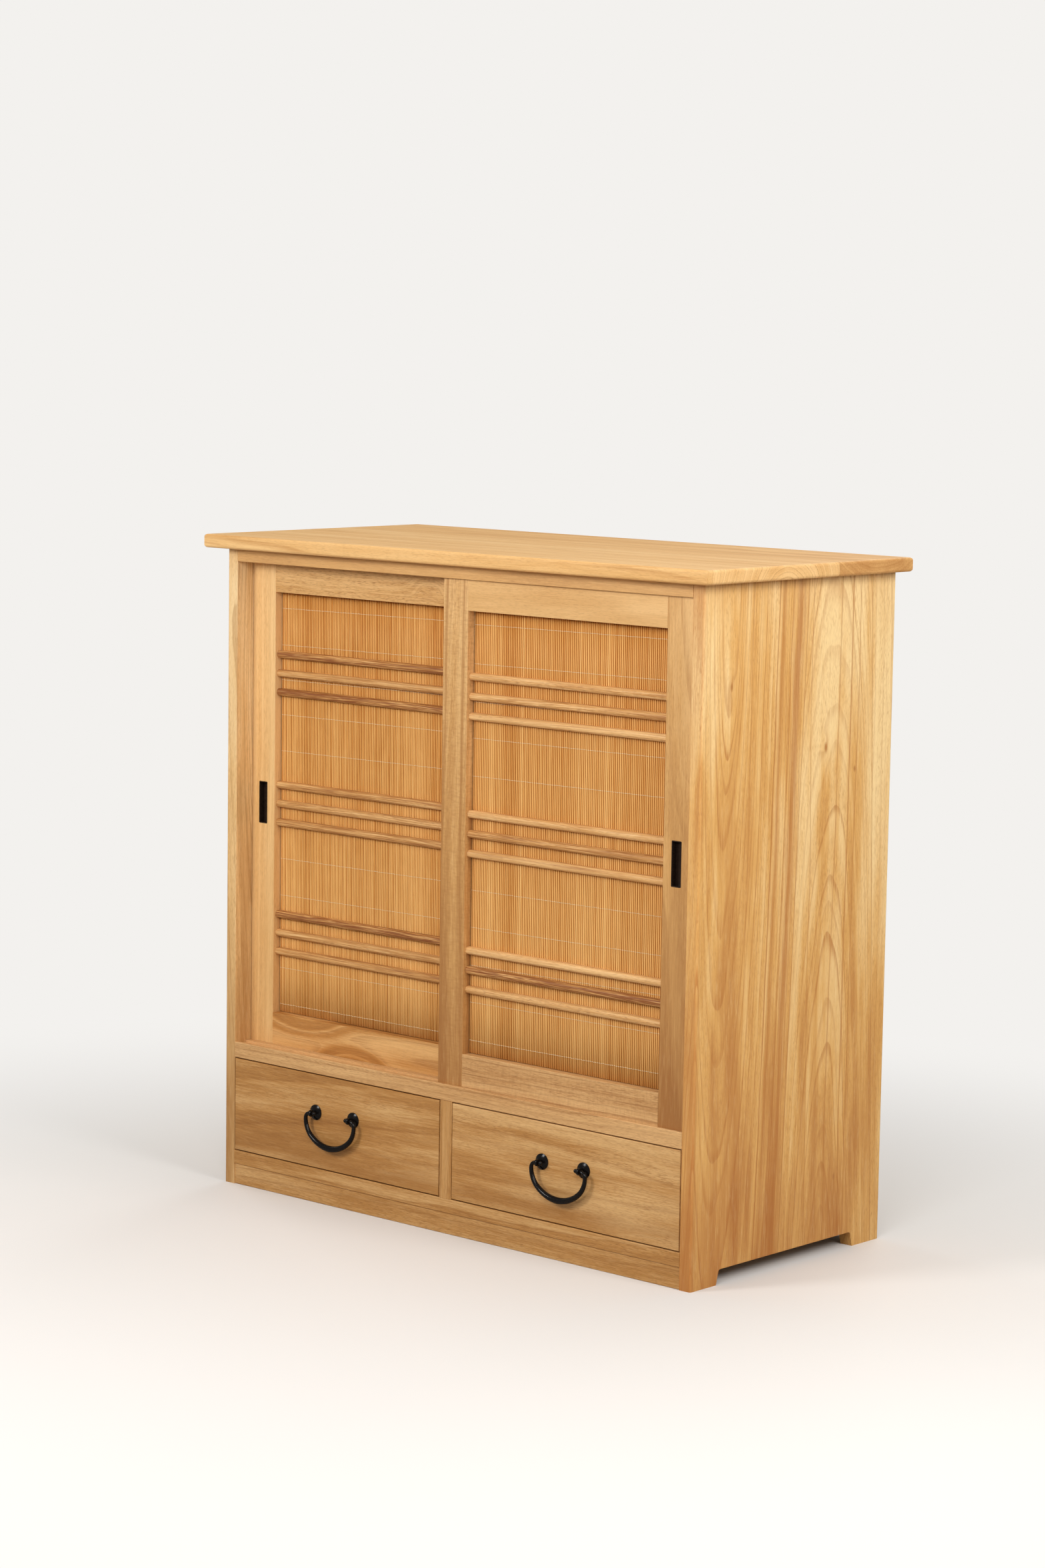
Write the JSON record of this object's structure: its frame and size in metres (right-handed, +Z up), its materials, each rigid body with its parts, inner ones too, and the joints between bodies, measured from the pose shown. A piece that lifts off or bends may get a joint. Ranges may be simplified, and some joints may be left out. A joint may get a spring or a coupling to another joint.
{
  "type": "shoe chest",
  "caption": "Free-standing wooden shoe chest with sliding lattice doors over a reed lining, shelves inside and drawers with iron bail pulls below.",
  "frame": {"origin": "on the floor, under the middle of the top board", "axes": "+X to the right, +Y to the back and +Z up, seen from the front"},
  "size_m": [0.88, 0.42, 0.9],
  "materials": {
    "top_wood": "clear satin",
    "side_wood": "clear satin",
    "frame_wood": "clear satin",
    "door_wood": "clear satin",
    "drawer_wood": "clear satin",
    "interior_wood": "raw, planed",
    "reed": "natural split reed",
    "iron": "black, slightly hammered",
    "pull_metal": "satin black-brown",
    "steel": "zinc-plated"
  },
  "bodies": {
    "carcass": {"top_board": "top_wood", "top_fixing_screws": "steel", "left_side_panel": "side_wood", "right_side_panel": "side_wood", "header_rail": "frame_wood", "sill_rail": "frame_wood", "bottom_rail": "frame_wood", "skirt_board": "frame_wood", "skirt_glue_blocks": "interior_wood", "drawer_divider": "frame_wood", "drawer_partition": "interior_wood", "cabinet_floor": "interior_wood", "bottom_panel": "interior_wood", "back_panel": "interior_wood", "rear_top_rail": "interior_wood", "rear_bottom_rail": "interior_wood", "lower_shelf": "interior_wood", "upper_shelf": "interior_wood", "shelf_pegs": "interior_wood", "left_drawer_runners": "interior_wood", "right_drawer_runners": "interior_wood", "left_drawer_kickers": "interior_wood", "right_drawer_kickers": "interior_wood", "drawer_stops": "interior_wood"},
    "left_door": {"left_door_outer_stile": "door_wood", "left_door_inner_stile": "door_wood", "left_door_top_rail": "door_wood", "left_door_bottom_rail": "door_wood", "left_door_backing": "interior_wood", "left_door_reed_mat": "reed", "left_door_rods": "door_wood", "left_door_flush_pull": "pull_metal"},
    "left_drawer": {"left_drawer_front": "drawer_wood", "left_drawer_left_side": "interior_wood", "left_drawer_right_side": "interior_wood", "left_drawer_back": "interior_wood", "left_drawer_bottom": "interior_wood", "left_drawer_rosettes": "iron", "left_drawer_eye_posts": "iron"},
    "left_bail": {"left_drawer_bail": "iron"},
    "right_door": {"right_door_outer_stile": "door_wood", "right_door_inner_stile": "door_wood", "right_door_top_rail": "door_wood", "right_door_bottom_rail": "door_wood", "right_door_backing": "interior_wood", "right_door_reed_mat": "reed", "right_door_rods": "door_wood", "right_door_flush_pull": "pull_metal"},
    "right_drawer": {"right_drawer_front": "drawer_wood", "right_drawer_left_side": "interior_wood", "right_drawer_right_side": "interior_wood", "right_drawer_back": "interior_wood", "right_drawer_bottom": "interior_wood", "right_drawer_rosettes": "iron", "right_drawer_eye_posts": "iron"},
    "right_bail": {"right_drawer_bail": "iron"}
  },
  "joints": [
    {"name": "left_door_slide", "type": "slide", "parent": "carcass", "child": "left_door", "axis": [1, 0, 0], "range_m": [0, 0.379]},
    {"name": "right_door_slide", "type": "slide", "parent": "carcass", "child": "right_door", "axis": [1, 0, 0], "range_m": [-0.379, 0]},
    {"name": "left_drawer_slide", "type": "slide", "parent": "carcass", "child": "left_drawer", "axis": [0, -1, 0], "range_m": [0, 0.29]},
    {"name": "right_drawer_slide", "type": "slide", "parent": "carcass", "child": "right_drawer", "axis": [0, -1, 0], "range_m": [0, 0.29]},
    {"name": "left_bail_swing", "type": "hinge", "parent": "left_drawer", "child": "left_bail", "pos_m": [-0.205, -0.1955, 0.1255], "axis": [-1, 0, 0], "range_deg": [-5, 170]},
    {"name": "right_bail_swing", "type": "hinge", "parent": "right_drawer", "child": "right_bail", "pos_m": [0.205, -0.1955, 0.1255], "axis": [-1, 0, 0], "range_deg": [-5, 170]}
  ]
}
